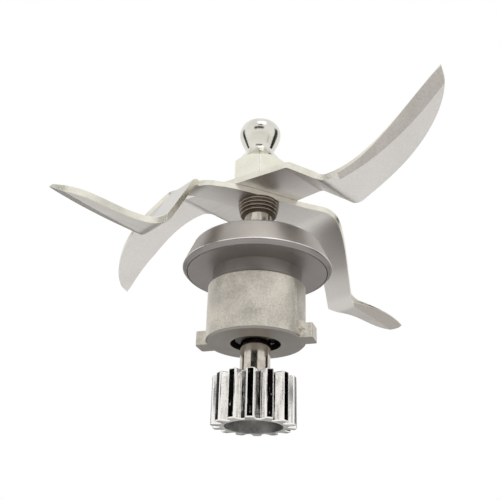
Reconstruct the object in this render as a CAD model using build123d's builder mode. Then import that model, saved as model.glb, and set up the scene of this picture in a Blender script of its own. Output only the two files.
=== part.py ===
import os
from math import cos, radians, sin, tan

from build123d import *

os.makedirs("parts", exist_ok=True)

# Lengths along the shaft, from the open end of the drive coupling upwards
coupling_height = 12.4
coupling_gap = 9.35
housing_floor = 2.0
bearing_width = 7.0
spacer_length = 5.5
washer_thickness = 0.75
cover_height = 5.8
bare_shaft = 10.0
stack_ring_height = 1.05
strip_thickness = 1.7
nut_height = 9.8
waist_rise = 3.8
knob_rise = 6.3
knob_crown = 3.9

# Clearances
running_gap = 0.05
ball_gap = 0.03
pocket_gap = 0.07
floor_gap = 1.3
recess_gap = 2.1

# Shaft, stepped from the bearings to the thread
shaft_radius = 4.0
shaft_chamfer = 0.4
shaft_end = 1.4
seat_step = 0.5
flat_depth = 0.5
thread_step = 0.5
thread_length = 12.0
groove_depth = 0.6

# Retaining rings on the shaft
ring_thickness = 1.0
ring_rim = 1.4
ring_slot = 3.2

# Drive coupling
recess_depth = 8.0
coupling_wall = 1.2
tooth_count = 14
tooth_depth = 2.3
tooth_tip_width = 2.1
tooth_base_width = 3.1
tooth_turn = -5.5
tooth_chamfer = 0.6

# Bearing housing
bearing_radius = 11.0
housing_wall = 2.24
neck_wall = 1.2
neck_length = 3.7
body_chamfer = 0.8
foot_chamfer = 0.5
flange_width = 6.9
flange_thickness = 2.3
lug_depth = 2.76
lug_height = 3.9
lug_width = 5.6
lug_turn = -17.0
lug_round = 0.7
stop_depth = 1.26
stop_height = 1.8
stop_width = 2.6
stop_turn = -33.0

# Flange cover
cover_wall = 1.5
cover_lip_width = 0.5
cover_lip_height = 1.1
cover_slope = 2.8
cover_edge_width = 0.8
cover_edge_height = 0.6
joint_groove_width = 0.3
joint_groove_height = 0.4

# Ball bearings
ball_radius = 1.98
track_depth = 0.61
ball_count = 7
cage_wall = 0.7
cage_rim = 0.45

# Spacers, washer and seal
spacer_wall = 1.6
washer_wall = 1.4
seal_width = 4.0
seal_height = 4.0
seal_drop = 0.4
seal_wall = 1.2
lip_relief = 0.6
lip_height = 0.9
lip_length = 2.8
lip_wall = 0.9

# Stack of rings under the blades, counted from below
stack_one_wall = 1.7
stack_two_wall = 2.0
stack_three_wall = 2.2
stack_four_wall = 2.3
stack_round = 0.4

# Upper blade strip: one arm dips and then rises, the other rises and then dips
upper_turn = -43.0
upper_half_width = 8.0
upper_root_lead = 27.0
upper_root_trail = 24.0
upper_fold_one = 17.0
upper_fold_two = 28.0
upper_fold_angle = 37.0
upper_blade_angle = 30.5
upper_bend = 3.0

# Lower blade strip: both arms drop to a foot and run out flat
lower_turn = 40.0
lower_fold = 20.6
lower_foot = 35.0
lower_foot_lead = 2.7
lower_foot_trail = 7.2
lower_drop = 21.8
lower_bend = 8.0
lower_foot_bend = 6.0

# Plan points of the lower strip, along the arm and towards its back, with one arm notched at the hub
lower_notch = (19.5, -2.6)
lower_hub_back = (9.0, 2.6)
lower_web_out = (20.0, 1.6)
lower_web_in = (11.0, 4.4)
lower_hub_front = (13.9, -8.2)
lower_bend_front = (22.0, -10.1)
lower_drop_front = (29.0, -6.8)
lower_foot_front = (lower_foot, -lower_foot_lead)
lower_edge_mid = (48.0, -2.4)
lower_point = (63.5, 1.8)
lower_nose = (63.4, 3.2)
lower_nose_side = (60.8, 4.8)
lower_back_mid = (47.0, 4.7)
lower_foot_back = (lower_foot, lower_foot_trail)
lower_drop_back = (28.0, 3.4)

# Plan points of the upper strip, the same for both arms
upper_edge_root = (upper_root_lead, -upper_half_width)
upper_edge_neck = (33.0, -3.2)
upper_edge_mid = (46.0, -1.3)
upper_point = (62.0, -2.8)
upper_nose = (61.0, 0.4)
upper_back_out = (53.5, 7.6)
upper_back_mid = (43.5, 10.6)
upper_back_in = (31.0, 9.5)
upper_back_root = (upper_root_trail, upper_half_width)

# Ground cutting edges
bevel_width = 3.4
bevel_land = 0.3
lower_grind_start = (36.0, -5.0)
lower_grind_end = (70.0, 3.9)
upper_grind_start = (32.0, -5.6)
upper_grind_end = (68.0, -4.6)

# Nut with knob
nut_flats = 14.3
nut_shoulder = 0.55
nut_corner_width = 1.2
nut_foot_height = 0.7
nut_crown_height = 1.6
waist_wall = 1.1
waist_flare = 0.3
waist_length = 1.4
knob_flare = 2.0
knob_round = 3.5

# Heights worked out from the lengths above
shaft_low = recess_depth - ring_thickness - shaft_end
housing_low = coupling_height + coupling_gap
lower_bearing_low = housing_low + housing_floor
lower_bearing_mid = lower_bearing_low + bearing_width / 2
spacer_low = lower_bearing_low + bearing_width
upper_bearing_low = spacer_low + spacer_length
upper_bearing_mid = upper_bearing_low + bearing_width / 2
upper_bearing_top = upper_bearing_low + bearing_width
flange_top = upper_bearing_top + washer_thickness
flange_low = flange_top - flange_thickness
neck_low = flange_low - neck_length
cover_top = flange_top + cover_height
seal_high = cover_top - seal_drop
seal_low = seal_high - seal_height
stack_low = cover_top + bare_shaft
lower_strip_low = stack_low + 4 * stack_ring_height
lower_blade_low = lower_strip_low - lower_drop
upper_strip_low = lower_strip_low + strip_thickness
nut_low = upper_strip_low + strip_thickness
nut_top = nut_low + nut_height
waist_height = nut_top + waist_rise
knob_height = waist_height + knob_rise
knob_top = knob_height + knob_crown

# Radii worked out from the walls above
groove_radius = shaft_radius - groove_depth
seat_radius = shaft_radius - seat_step
seat_flats = 2 * (seat_radius - flat_depth)
thread_radius = seat_radius - thread_step
ring_outer = shaft_radius + ring_rim
floor_hole = ring_outer + floor_gap
recess_radius = ring_outer + recess_gap
tooth_root = recess_radius + coupling_wall
coupling_radius = tooth_root + tooth_depth
housing_radius = bearing_radius + housing_wall
neck_radius = bearing_radius + neck_wall
flange_radius = neck_radius + flange_width
cover_lip = flange_radius + cover_lip_width
cover_rim = flange_radius + cover_wall
cover_shoulder = cover_rim - cover_slope
lug_radius = housing_radius + lug_depth
stop_radius = housing_radius + stop_depth
seal_seat = shaft_radius + seal_width
lip_radius = shaft_radius + running_gap
lip_root = lip_radius + lip_relief
pitch_radius = (shaft_radius + bearing_radius) / 2
track_radius = ball_radius + ball_gap
race_wall = (bearing_radius - shaft_radius) / 2 - track_radius
inner_shoulder = shaft_radius + race_wall + track_depth
outer_shoulder = bearing_radius - race_wall - track_depth
pocket_radius = ball_radius + pocket_gap
cage_width = 2 * (pocket_radius + cage_rim)
nut_crown = nut_flats / 2 - nut_shoulder
nut_corner = nut_flats / 2 + nut_corner_width
nut_waist = thread_radius + waist_wall
knob_radius = nut_waist + knob_flare
knob_flat = knob_radius - knob_round

# Sheet that the strips are cut from, a little larger than their outlines
sheet_half_width = 2 * upper_half_width
lower_sheet_end = lower_nose[0] + strip_thickness
upper_sheet_end = upper_point[0] + 2 * strip_thickness
upper_dip = (upper_fold_two - upper_fold_one) * tan(radians(upper_fold_angle))
upper_climb = (upper_sheet_end - upper_fold_two) * tan(radians(upper_blade_angle))
trim_height = upper_strip_low + upper_climb
upper_grind_points = (upper_grind_start, upper_edge_mid, upper_point, upper_grind_end)


def side_plane(turn):
    c = cos(radians(turn))
    s = sin(radians(turn))
    return Plane(origin=(0, 0, 0), x_dir=(c, s, 0), z_dir=(s, -c, 0))


def plan_plane(turn, height):
    c = cos(radians(turn))
    s = sin(radians(turn))
    return Plane(origin=(0, 0, height), x_dir=(c, s, 0), z_dir=(0, 0, 1))


def turned(point):
    return (-point[0], -point[1])


def rising_plane(side):
    # Lies on the ground face of the raised blade for 1 and of the lowered blade for -1, facing into the sheet
    c = side * cos(radians(upper_turn))
    s = side * sin(radians(upper_turn))
    along = cos(radians(upper_blade_angle))
    lift = side * sin(radians(upper_blade_angle))
    middle = upper_strip_low + strip_thickness / 2
    height = middle - side * (upper_dip + strip_thickness / 2)
    return Plane(
        origin=(c * upper_fold_two, s * upper_fold_two, height),
        x_dir=(c * along, s * along, lift),
        z_dir=(-c * abs(lift), -s * abs(lift), side * along),
    )


def sloped(point, side):
    return ((point[0] - upper_fold_two) / cos(radians(upper_blade_angle)), side * point[1])


def bevel_section(side):
    slope = (strip_thickness - bevel_land) / bevel_width
    inner = bevel_width + strip_thickness
    return (
        (-strip_thickness, side * inner),
        (-strip_thickness * slope, side * inner),
        (inner * slope, -side * strip_thickness),
        (-strip_thickness, -side * strip_thickness),
    )


# Shaft with ring grooves, a flatted blade seat and a threaded end
with BuildPart() as shaft:
    with BuildSketch(Plane.XZ):
        with BuildLine():
            Polyline(
                (0, shaft_low),
                (shaft_radius - shaft_chamfer, shaft_low),
                (shaft_radius, shaft_low + shaft_chamfer),
                (shaft_radius, recess_depth - ring_thickness),
                (groove_radius, recess_depth - ring_thickness),
                (groove_radius, recess_depth),
                (shaft_radius, recess_depth),
                (shaft_radius, lower_bearing_low - ring_thickness),
                (groove_radius, lower_bearing_low - ring_thickness),
                (groove_radius, lower_bearing_low),
                (shaft_radius, lower_bearing_low),
                (shaft_radius, upper_bearing_top),
                (groove_radius, upper_bearing_top),
                (groove_radius, upper_bearing_top + ring_thickness),
                (shaft_radius, upper_bearing_top + ring_thickness),
                (shaft_radius, stack_low),
                (seat_radius, stack_low),
                (seat_radius, nut_low),
                (thread_radius, nut_low),
                (thread_radius, nut_low + thread_length),
                (0, nut_low + thread_length),
                close=True,
            )
        make_face()
    revolve(axis=Axis.Z)
    with BuildSketch(plan_plane(lower_turn, lower_strip_low)):
        with Locations((0, seat_radius + seat_flats / 2), (0, -seat_radius - seat_flats / 2)):
            Rectangle(4 * seat_radius, 2 * seat_radius)
    extrude(amount=nut_low - lower_strip_low, mode=Mode.SUBTRACT)
shaft.part.label = "shaft"
export_step(shaft.part, "parts/shaft.step")

# Drive coupling: a turned blank with cut teeth and an open recess
with BuildPart() as drive_coupling:
    with BuildSketch(Plane.XZ):
        with BuildLine():
            Polyline(
                (shaft_radius, recess_depth),
                (recess_radius, recess_depth),
                (recess_radius, 0),
                (coupling_radius - tooth_chamfer, 0),
                (coupling_radius, tooth_chamfer),
                (coupling_radius, coupling_height - tooth_chamfer),
                (coupling_radius - tooth_chamfer, coupling_height),
                (shaft_radius, coupling_height),
                close=True,
            )
        make_face()
    revolve(axis=Axis.Z)
    with BuildSketch(Plane.XY.rotated((0, 0, tooth_turn - 90))):
        Circle(tooth_root)
        with PolarLocations(tooth_root, tooth_count):
            Polygon(
                (-coupling_wall, -tooth_base_width / 2),
                (0, -tooth_base_width / 2),
                (tooth_depth, -tooth_tip_width / 2),
                (tooth_depth + tooth_chamfer, 0),
                (tooth_depth, tooth_tip_width / 2),
                (0, tooth_base_width / 2),
                (-coupling_wall, tooth_base_width / 2),
                align=None,
            )
    extrude(amount=coupling_height, mode=Mode.INTERSECT)
drive_coupling.part.label = "drive_coupling"
export_step(drive_coupling.part, "parts/drive_coupling.step")

# Retaining ring under the coupling web
with BuildPart() as coupling_ring:
    with BuildSketch(Plane.XY.offset(recess_depth - ring_thickness)):
        Circle(ring_outer)
        Circle(groove_radius, mode=Mode.SUBTRACT)
        with Locations((ring_outer, 0)):
            Rectangle(2 * ring_outer, ring_slot, mode=Mode.SUBTRACT)
    extrude(amount=ring_thickness)
coupling_ring.part.label = "coupling_ring"
export_step(coupling_ring.part, "parts/coupling_ring.step")

# Retaining ring under the lower bearing
with BuildPart() as lower_shaft_ring:
    with BuildSketch(Plane.XY.offset(lower_bearing_low - ring_thickness)):
        Circle(ring_outer)
        Circle(groove_radius, mode=Mode.SUBTRACT)
        with Locations((ring_outer, 0)):
            Rectangle(2 * ring_outer, ring_slot, mode=Mode.SUBTRACT)
    extrude(amount=ring_thickness)
lower_shaft_ring.part.label = "lower_shaft_ring"
export_step(lower_shaft_ring.part, "parts/lower_shaft_ring.step")

# Retaining ring over the upper bearing
with BuildPart() as upper_shaft_ring:
    with BuildSketch(Plane.XY.offset(upper_bearing_top)):
        Circle(ring_outer)
        Circle(groove_radius, mode=Mode.SUBTRACT)
        with Locations((ring_outer, 0)):
            Rectangle(2 * ring_outer, ring_slot, mode=Mode.SUBTRACT)
    extrude(amount=ring_thickness)
upper_shaft_ring.part.label = "upper_shaft_ring"
export_step(upper_shaft_ring.part, "parts/upper_shaft_ring.step")

# Cast housing with its flange, neck and two bayonet lugs
with BuildPart() as bearing_housing:
    with BuildSketch(Plane.XZ):
        with BuildLine():
            Polyline(
                (floor_hole, housing_low),
                (housing_radius - foot_chamfer, housing_low),
                (housing_radius, housing_low + foot_chamfer),
                (housing_radius, neck_low - body_chamfer),
                (neck_radius, neck_low),
                (neck_radius, flange_low),
                (flange_radius, flange_low),
                (flange_radius, flange_top),
                (bearing_radius, flange_top),
                (bearing_radius, lower_bearing_low),
                (floor_hole, lower_bearing_low),
                close=True,
            )
        make_face()
    revolve(axis=Axis.Z)
    with BuildSketch(plan_plane(lug_turn, housing_low)):
        with PolarLocations((lug_radius + neck_radius) / 2, 2):
            RectangleRounded(lug_radius - neck_radius, lug_width, lug_round)
    extrude(amount=lug_height)
    with BuildSketch(plan_plane(stop_turn, housing_low + lug_height - stop_height)):
        with PolarLocations((stop_radius + neck_radius) / 2, 2):
            Rectangle(stop_radius - neck_radius, stop_width)
    extrude(amount=stop_height)
bearing_housing.part.label = "bearing_housing"
export_step(bearing_housing.part, "parts/bearing_housing.step")

# Turned cover pressed over the flange, with the seal seat in its middle
with BuildPart() as flange_cover:
    with BuildSketch(Plane.XZ):
        with BuildLine():
            Polyline(
                (flange_radius, flange_top),
                (flange_radius, flange_low + joint_groove_height),
                (flange_radius + joint_groove_width, flange_low),
                (cover_lip, flange_low),
                (cover_rim, flange_low + cover_lip_height),
                (cover_shoulder, cover_top - cover_edge_height),
                (cover_shoulder - cover_edge_width, cover_top),
                (seal_seat, cover_top),
                (seal_seat, flange_top),
                close=True,
            )
        make_face()
    revolve(axis=Axis.Z)
flange_cover.part.label = "flange_cover"
export_step(flange_cover.part, "parts/flange_cover.step")

# Lip seal between cover and shaft
with BuildPart() as shaft_seal:
    with BuildSketch(Plane.XZ):
        with BuildLine():
            Polyline(
                (seal_seat, seal_low),
                (seal_seat, seal_high),
                (lip_root, seal_high),
                (lip_radius, seal_high - lip_relief),
                (lip_radius, seal_high - lip_relief - lip_height),
                (lip_root, seal_high - 2 * lip_relief - lip_height),
                (lip_root, seal_high - lip_length),
                (lip_root + lip_wall, seal_high - lip_length),
                (lip_root + lip_wall, seal_high - seal_wall),
                (seal_seat - seal_wall, seal_high - seal_wall),
                (seal_seat - seal_wall, seal_low),
                close=True,
            )
        make_face()
    revolve(axis=Axis.Z)
shaft_seal.part.label = "shaft_seal"
export_step(shaft_seal.part, "parts/shaft_seal.step")

# Outer ring of the lower bearing
with BuildPart() as lower_outer_ring:
    with BuildSketch(Plane.XZ):
        with Locations(((outer_shoulder + bearing_radius) / 2, lower_bearing_mid)):
            Rectangle(bearing_radius - outer_shoulder, bearing_width)
        with Locations((pitch_radius, lower_bearing_mid)):
            Circle(track_radius, mode=Mode.SUBTRACT)
    revolve(axis=Axis.Z)
lower_outer_ring.part.label = "lower_outer_ring"
export_step(lower_outer_ring.part, "parts/lower_outer_ring.step")

# Inner ring of the lower bearing
with BuildPart() as lower_inner_ring:
    with BuildSketch(Plane.XZ):
        with Locations(((shaft_radius + inner_shoulder) / 2, lower_bearing_mid)):
            Rectangle(inner_shoulder - shaft_radius, bearing_width)
        with Locations((pitch_radius, lower_bearing_mid)):
            Circle(track_radius, mode=Mode.SUBTRACT)
    revolve(axis=Axis.Z)
lower_inner_ring.part.label = "lower_inner_ring"
export_step(lower_inner_ring.part, "parts/lower_inner_ring.step")

# Balls of the lower bearing
with BuildPart() as lower_balls:
    with Locations((0, 0, lower_bearing_mid)):
        with PolarLocations(pitch_radius, ball_count):
            Sphere(ball_radius)
lower_balls.part.label = "lower_balls"
export_step(lower_balls.part, "parts/lower_balls.step")

# Cage of the lower bearing
with BuildPart() as lower_cage:
    with BuildSketch(Plane.XZ):
        with Locations((pitch_radius, lower_bearing_mid)):
            Rectangle(cage_wall, cage_width)
    revolve(axis=Axis.Z)
    with Locations((0, 0, lower_bearing_mid)):
        with PolarLocations(pitch_radius, ball_count):
            Cylinder(pocket_radius, 2 * pocket_radius, rotation=(0, 90, 0), mode=Mode.SUBTRACT)
lower_cage.part.label = "lower_cage"
export_step(lower_cage.part, "parts/lower_cage.step")

# Outer ring of the upper bearing
with BuildPart() as upper_outer_ring:
    with BuildSketch(Plane.XZ):
        with Locations(((outer_shoulder + bearing_radius) / 2, upper_bearing_mid)):
            Rectangle(bearing_radius - outer_shoulder, bearing_width)
        with Locations((pitch_radius, upper_bearing_mid)):
            Circle(track_radius, mode=Mode.SUBTRACT)
    revolve(axis=Axis.Z)
upper_outer_ring.part.label = "upper_outer_ring"
export_step(upper_outer_ring.part, "parts/upper_outer_ring.step")

# Inner ring of the upper bearing
with BuildPart() as upper_inner_ring:
    with BuildSketch(Plane.XZ):
        with Locations(((shaft_radius + inner_shoulder) / 2, upper_bearing_mid)):
            Rectangle(inner_shoulder - shaft_radius, bearing_width)
        with Locations((pitch_radius, upper_bearing_mid)):
            Circle(track_radius, mode=Mode.SUBTRACT)
    revolve(axis=Axis.Z)
upper_inner_ring.part.label = "upper_inner_ring"
export_step(upper_inner_ring.part, "parts/upper_inner_ring.step")

# Balls of the upper bearing
with BuildPart() as upper_balls:
    with Locations((0, 0, upper_bearing_mid)):
        with PolarLocations(pitch_radius, ball_count):
            Sphere(ball_radius)
upper_balls.part.label = "upper_balls"
export_step(upper_balls.part, "parts/upper_balls.step")

# Cage of the upper bearing
with BuildPart() as upper_cage:
    with BuildSketch(Plane.XZ):
        with Locations((pitch_radius, upper_bearing_mid)):
            Rectangle(cage_wall, cage_width)
    revolve(axis=Axis.Z)
    with Locations((0, 0, upper_bearing_mid)):
        with PolarLocations(pitch_radius, ball_count):
            Cylinder(pocket_radius, 2 * pocket_radius, rotation=(0, 90, 0), mode=Mode.SUBTRACT)
upper_cage.part.label = "upper_cage"
export_step(upper_cage.part, "parts/upper_cage.step")

# Sleeve between the two inner rings
with BuildPart() as inner_spacer:
    with BuildSketch(Plane.XY.offset(spacer_low)):
        Circle(shaft_radius + spacer_wall)
        Circle(shaft_radius, mode=Mode.SUBTRACT)
    extrude(amount=spacer_length)
inner_spacer.part.label = "inner_spacer"
export_step(inner_spacer.part, "parts/inner_spacer.step")

# Sleeve between the two outer rings
with BuildPart() as outer_spacer:
    with BuildSketch(Plane.XY.offset(spacer_low)):
        Circle(bearing_radius)
        Circle(bearing_radius - spacer_wall, mode=Mode.SUBTRACT)
    extrude(amount=spacer_length)
outer_spacer.part.label = "outer_spacer"
export_step(outer_spacer.part, "parts/outer_spacer.step")

# Washer between the upper outer ring and the cover
with BuildPart() as preload_washer:
    with BuildSketch(Plane.XY.offset(upper_bearing_top)):
        Circle(bearing_radius)
        Circle(bearing_radius - washer_wall, mode=Mode.SUBTRACT)
    extrude(amount=washer_thickness)
preload_washer.part.label = "preload_washer"
export_step(preload_washer.part, "parts/preload_washer.step")

# Four thin rings stacked under the blades
with BuildPart() as stack_ring_one:
    with BuildSketch(Plane.XY.offset(stack_low)):
        Circle(seat_radius + stack_one_wall)
        Circle(seat_radius, mode=Mode.SUBTRACT)
    extrude(amount=stack_ring_height)
    rim = stack_ring_one.edges().filter_by(GeomType.CIRCLE).group_by(SortBy.RADIUS)[-1]
    fillet(rim, stack_round)
stack_ring_one.part.label = "stack_ring_one"
export_step(stack_ring_one.part, "parts/stack_ring_one.step")

with BuildPart() as stack_ring_two:
    with BuildSketch(Plane.XY.offset(stack_low + stack_ring_height)):
        Circle(seat_radius + stack_two_wall)
        Circle(seat_radius, mode=Mode.SUBTRACT)
    extrude(amount=stack_ring_height)
    rim = stack_ring_two.edges().filter_by(GeomType.CIRCLE).group_by(SortBy.RADIUS)[-1]
    fillet(rim, stack_round)
stack_ring_two.part.label = "stack_ring_two"
export_step(stack_ring_two.part, "parts/stack_ring_two.step")

with BuildPart() as stack_ring_three:
    with BuildSketch(Plane.XY.offset(stack_low + 2 * stack_ring_height)):
        Circle(seat_radius + stack_three_wall)
        Circle(seat_radius, mode=Mode.SUBTRACT)
    extrude(amount=stack_ring_height)
    rim = stack_ring_three.edges().filter_by(GeomType.CIRCLE).group_by(SortBy.RADIUS)[-1]
    fillet(rim, stack_round)
stack_ring_three.part.label = "stack_ring_three"
export_step(stack_ring_three.part, "parts/stack_ring_three.step")

with BuildPart() as stack_ring_four:
    with BuildSketch(Plane.XY.offset(stack_low + 3 * stack_ring_height)):
        Circle(seat_radius + stack_four_wall)
        Circle(seat_radius, mode=Mode.SUBTRACT)
    extrude(amount=stack_ring_height)
    rim = stack_ring_four.edges().filter_by(GeomType.CIRCLE).group_by(SortBy.RADIUS)[-1]
    fillet(rim, stack_round)
stack_ring_four.part.label = "stack_ring_four"
export_step(stack_ring_four.part, "parts/stack_ring_four.step")

# Lower blade strip, bent from sheet and trimmed to its plan
with BuildPart() as lower_blade:
    with BuildSketch(side_plane(lower_turn)):
        with BuildLine():
            FilletPolyline(
                (-lower_sheet_end, lower_blade_low),
                (-lower_foot, lower_blade_low),
                (-lower_fold, lower_strip_low),
                (lower_fold, lower_strip_low),
                (lower_foot, lower_blade_low),
                (lower_sheet_end, lower_blade_low),
                radius=(lower_foot_bend, lower_bend, lower_bend, lower_foot_bend),
            )
            offset(amount=strip_thickness, side=Side.LEFT, closed=True)
        make_face()
    extrude(amount=sheet_half_width, both=True)
    with BuildSketch(plan_plane(lower_turn, 0)):
        with BuildLine():
            Spline(
                turned(lower_notch),
                turned(lower_hub_back),
                lower_hub_front,
                lower_bend_front,
                lower_drop_front,
                lower_foot_front,
            )
            Spline(lower_foot_front, lower_edge_mid, lower_point)
            Line(lower_point, lower_nose)
            Spline(lower_nose, lower_nose_side, lower_back_mid, lower_foot_back)
            Spline(lower_foot_back, lower_drop_back, lower_web_out)
            Spline(
                lower_web_out,
                lower_web_in,
                turned(lower_hub_front),
                turned(lower_bend_front),
                turned(lower_drop_front),
                turned(lower_foot_front),
            )
            Spline(turned(lower_foot_front), turned(lower_edge_mid), turned(lower_point))
            Line(turned(lower_point), turned(lower_nose))
            Spline(
                turned(lower_nose),
                turned(lower_nose_side),
                turned(lower_back_mid),
                turned(lower_foot_back),
            )
            Spline(turned(lower_foot_back), turned(lower_drop_back), turned(lower_notch))
        make_face()
    extrude(amount=trim_height, mode=Mode.INTERSECT)
    with BuildSketch(plan_plane(lower_turn, lower_strip_low)):
        Circle(seat_radius)
        Rectangle(2 * seat_radius, seat_flats, mode=Mode.INTERSECT)
    extrude(amount=strip_thickness, mode=Mode.SUBTRACT)
    for turn in (lower_turn, lower_turn + 180):
        blade_face = plan_plane(turn, lower_blade_low)
        with BuildLine(blade_face) as lower_grind:
            Spline(lower_grind_start, lower_edge_mid, lower_point, lower_grind_end)
        with BuildSketch(Plane(lower_grind.line @ 0, x_dir=blade_face.z_dir, z_dir=lower_grind.line % 0)):
            Polygon(*bevel_section(-1), align=None)
        sweep(mode=Mode.SUBTRACT)
lower_blade.part.label = "lower_blade"
export_step(lower_blade.part, "parts/lower_blade.step")

# Upper blade strip, bent from sheet and trimmed to its plan
with BuildPart() as upper_blade:
    with BuildSketch(side_plane(upper_turn)):
        with BuildLine():
            FilletPolyline(
                (-upper_sheet_end, upper_strip_low + upper_dip - upper_climb),
                (-upper_fold_two, upper_strip_low + upper_dip),
                (-upper_fold_one, upper_strip_low),
                (upper_fold_one, upper_strip_low),
                (upper_fold_two, upper_strip_low - upper_dip),
                (upper_sheet_end, upper_strip_low - upper_dip + upper_climb),
                radius=upper_bend,
            )
            offset(amount=strip_thickness, side=Side.LEFT, closed=True)
        make_face()
    extrude(amount=sheet_half_width, both=True)
    with BuildSketch(plan_plane(upper_turn, 0)):
        with BuildLine():
            Line(turned(upper_back_root), upper_edge_root)
            Spline(upper_edge_root, upper_edge_neck, upper_edge_mid, upper_point)
            Line(upper_point, upper_nose)
            Spline(upper_nose, upper_back_out, upper_back_mid, upper_back_in, upper_back_root)
            Line(upper_back_root, turned(upper_edge_root))
            Spline(
                turned(upper_edge_root),
                turned(upper_edge_neck),
                turned(upper_edge_mid),
                turned(upper_point),
            )
            Line(turned(upper_point), turned(upper_nose))
            Spline(
                turned(upper_nose),
                turned(upper_back_out),
                turned(upper_back_mid),
                turned(upper_back_in),
                turned(upper_back_root),
            )
        make_face()
    extrude(amount=trim_height, mode=Mode.INTERSECT)
    with BuildSketch(plan_plane(lower_turn, upper_strip_low)):
        Circle(seat_radius)
        Rectangle(2 * seat_radius, seat_flats, mode=Mode.INTERSECT)
    extrude(amount=strip_thickness, mode=Mode.SUBTRACT)
    for side in (-1, 1):
        blade_face = rising_plane(-side)
        with BuildLine(blade_face) as upper_grind:
            Spline(*[sloped(point, -side) for point in upper_grind_points])
        with BuildSketch(Plane(upper_grind.line @ 0, x_dir=blade_face.z_dir, z_dir=upper_grind.line % 0)):
            Polygon(*bevel_section(side), align=None)
        sweep(mode=Mode.SUBTRACT)
upper_blade.part.label = "upper_blade"
export_step(upper_blade.part, "parts/upper_blade.step")

# Hexagon nut with a turned knob, drilled for the shaft end
with BuildPart() as knob_nut:
    with BuildSketch(Plane.XY.offset(nut_low).rotated((0, 0, 30))):
        RegularPolygon(radius=nut_flats / 2, side_count=6, major_radius=False)
    extrude(amount=nut_height)
    with BuildSketch(Plane.XZ):
        with BuildLine():
            Polyline(
                (0, nut_low),
                (nut_flats / 2, nut_low),
                (nut_corner, nut_low + nut_foot_height),
                (nut_corner, nut_top - nut_crown_height),
                (nut_crown, nut_top),
                (0, nut_top),
                close=True,
            )
        make_face()
    revolve(axis=Axis.Z, mode=Mode.INTERSECT)
    with BuildSketch(Plane.XZ):
        with BuildLine():
            Line((0, nut_top), (nut_crown, nut_top))
            Line((nut_crown, nut_top), (nut_waist, waist_height))
            Spline(
                (nut_waist, waist_height),
                (nut_waist + waist_flare, waist_height + waist_length),
                (knob_radius, knob_height),
                (knob_flat, knob_top),
                tangents=((0, 1), (-1, 0)),
            )
            Line((knob_flat, knob_top), (0, knob_top))
            Line((0, knob_top), (0, nut_top))
        make_face()
    revolve(axis=Axis.Z)
    with BuildSketch(Plane.XY.offset(nut_low)):
        Circle(thread_radius)
    extrude(amount=thread_length, mode=Mode.SUBTRACT)
knob_nut.part.label = "knob_nut"
export_step(knob_nut.part, "parts/knob_nut.step")
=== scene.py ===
import math

import bmesh
import bpy
from mathutils import Matrix, Vector


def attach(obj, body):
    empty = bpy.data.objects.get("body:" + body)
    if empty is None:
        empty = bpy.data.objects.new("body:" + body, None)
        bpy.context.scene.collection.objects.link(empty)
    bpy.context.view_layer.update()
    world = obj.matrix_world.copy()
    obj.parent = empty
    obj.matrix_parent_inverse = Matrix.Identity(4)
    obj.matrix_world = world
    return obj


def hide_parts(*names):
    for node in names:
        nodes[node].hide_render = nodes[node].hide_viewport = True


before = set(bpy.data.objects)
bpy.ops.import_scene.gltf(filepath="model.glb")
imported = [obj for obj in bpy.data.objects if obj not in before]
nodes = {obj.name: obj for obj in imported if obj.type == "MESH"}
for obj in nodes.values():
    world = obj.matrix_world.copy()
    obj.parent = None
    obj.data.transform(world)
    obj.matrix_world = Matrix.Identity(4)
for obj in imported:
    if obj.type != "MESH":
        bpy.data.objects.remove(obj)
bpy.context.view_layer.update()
scene = bpy.context.scene
mm = 0.001
mergeMm = 0.002
print("frame loaded:", len(nodes), "nodes")


# sRGB hex code to the linear values that Blender works in
def linearColour(hexCode):
    channels = [int(hexCode[i:i + 2], 16) / 255 for i in (1, 3, 5)]
    linear = [c / 12.92 if c <= 0.04045 else ((c + 0.055) / 1.055) ** 2.4 for c in channels]
    return linear + [1.0]


# Adds a node, sets its attributes, and links or sets its inputs
def addNode(tree, kind, attributes=None, inputs=None):
    node = tree.nodes.new(kind)
    for name, value in (attributes or {}).items():
        setattr(node, name, value)
    for key, value in (inputs or {}).items():
        if isinstance(value, bpy.types.NodeSocket):
            tree.links.new(value, node.inputs[key])
        else:
            node.inputs[key].default_value = value
    return node


def startMaterial(name, metallic=1.0):
    material = bpy.data.materials.new(name)
    material.use_nodes = True
    tree = material.node_tree
    tree.nodes.clear()
    shader = addNode(tree, "ShaderNodeBsdfPrincipled", inputs={"Metallic": metallic})
    addNode(tree, "ShaderNodeOutputMaterial", inputs={"Surface": shader.outputs["BSDF"]})
    place = addNode(tree, "ShaderNodeTexCoord").outputs["Object"]
    return material, tree, shader, place


# Pattern scale for a feature of this size
def perMetre(sizeMm):
    return 1 / (sizeMm * mm)


# Camera: below the object and looking up, as the photograph was taken, with angles in radians
cameraView = {
    "lensMm": 54.37,
    "sensorMm": 36,
    "place": (0.0, -190.0, -42.05),
    "pan": -0.0113,
    "tilt": 0.448,
    "roll": 0.028,
    "clip": (0.01, 50),
}


def placeCamera(view):
    pan, tilt, roll = view["pan"], view["tilt"], view["roll"]
    ahead = Vector((math.sin(pan) * math.cos(tilt), math.cos(pan) * math.cos(tilt), math.sin(tilt)))
    level = ahead.cross(Vector((0, 0, 1))).normalized()
    upright = level.cross(ahead)
    right = level * math.cos(roll) + upright * math.sin(roll)
    up = upright * math.cos(roll) - level * math.sin(roll)
    data = bpy.data.cameras.new("camera")
    data.lens = view["lensMm"]
    data.sensor_width = view["sensorMm"]
    data.clip_start, data.clip_end = view["clip"]
    camera = bpy.data.objects.new("camera", data)
    scene.collection.objects.link(camera)
    turn = Matrix((right, up, -ahead)).transposed().to_4x4()
    camera.matrix_world = Matrix.Translation(Vector(view["place"]) * mm) @ turn
    scene.camera = camera


placeCamera(cameraView)
print("camera placed")

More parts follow.
